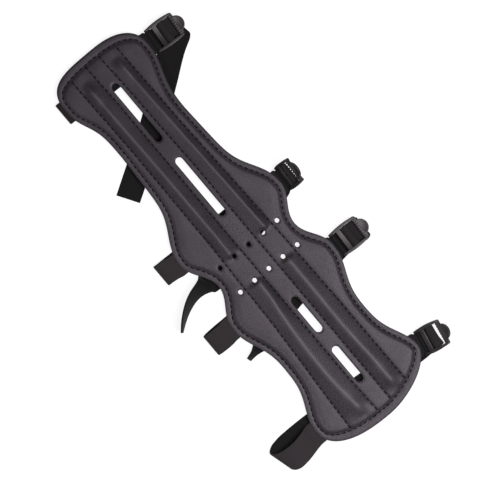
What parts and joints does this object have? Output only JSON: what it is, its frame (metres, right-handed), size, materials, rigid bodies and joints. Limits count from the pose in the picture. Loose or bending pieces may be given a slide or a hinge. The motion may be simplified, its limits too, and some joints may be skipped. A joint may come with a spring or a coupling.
{
  "type": "archery arm guard",
  "caption": "Long leather archery arm guard for forearm and upper arm, with raised stay channels, vent slots and elastic straps in ladder lock buckles.",
  "frame": {"origin": "middle of the elbow line, halfway between the two rows of holes, on the arm side of the back lining", "axes": "+Y along the guard towards the wrist end, +X across it towards the buckles, +Z away from the arm through the front leather"},
  "size_m": [0.1789, 0.3765, 0.0329],
  "materials": {
    "front_leather": "satin grained",
    "felt": "matte felt",
    "lining": "matte woven",
    "stay_plastic": "matte",
    "webbing": "matte woven",
    "elastic": "matte knitted",
    "buckle_plastic": "gloss"
  },
  "bodies": {
    "forearm": {"front_leather": "front_leather", "felt_padding": "felt", "back_lining": "lining", "forearm_stay_left": "stay_plastic", "forearm_stay_right": "stay_plastic", "wrist_webbing_loop": "webbing", "forearm_webbing_loop": "webbing", "wrist_strap": "elastic", "forearm_strap": "elastic"},
    "upper_arm": {"upper_arm_stay_left": "stay_plastic", "upper_arm_stay_right": "stay_plastic", "elbow_webbing_loop": "webbing", "upper_arm_webbing_loop": "webbing", "elbow_strap": "elastic", "upper_arm_strap": "elastic"},
    "buckle_wrist": {"wrist_buckle": "buckle_plastic"},
    "buckle_forearm": {"forearm_buckle": "buckle_plastic"},
    "buckle_elbow": {"elbow_buckle": "buckle_plastic"},
    "buckle_upper_arm": {"upper_arm_buckle": "buckle_plastic"}
  },
  "joints": [
    {"name": "elbow_flex", "type": "hinge", "parent": "forearm", "child": "upper_arm", "pos_m": [0, 0, 0.0023], "axis": [-1, 0, 0], "range_deg": [0, 50], "deforming": ["front_leather", "felt_padding", "back_lining"]},
    {"name": "wrist_buckle_swing", "type": "hinge", "parent": "forearm", "child": "buckle_wrist", "pos_m": [0.0467, 0.1862, 0.0018], "axis": [-0.0698, -0.9976, 0], "range_deg": [-8, 80], "deforming": ["wrist_strap"]},
    {"name": "forearm_buckle_swing", "type": "hinge", "parent": "forearm", "child": "buckle_forearm", "pos_m": [0.05605, 0.0349, 0.0018], "axis": [-0.0523, -0.9986, 0], "range_deg": [-71, 17], "deforming": ["forearm_strap"]},
    {"name": "elbow_buckle_swing", "type": "hinge", "parent": "upper_arm", "child": "buckle_elbow", "pos_m": [0.055, -0.0336, 0.0018], "axis": [-0.0349, -0.9994, 0], "range_deg": [-8, 80], "deforming": ["elbow_strap"]},
    {"name": "upper_arm_buckle_swing", "type": "hinge", "parent": "upper_arm", "child": "buckle_upper_arm", "pos_m": [0.05579, -0.1367, 0.0018], "axis": [-0.1908, -0.9816, 0], "range_deg": [-43, 45], "deforming": ["upper_arm_strap"]}
  ]
}
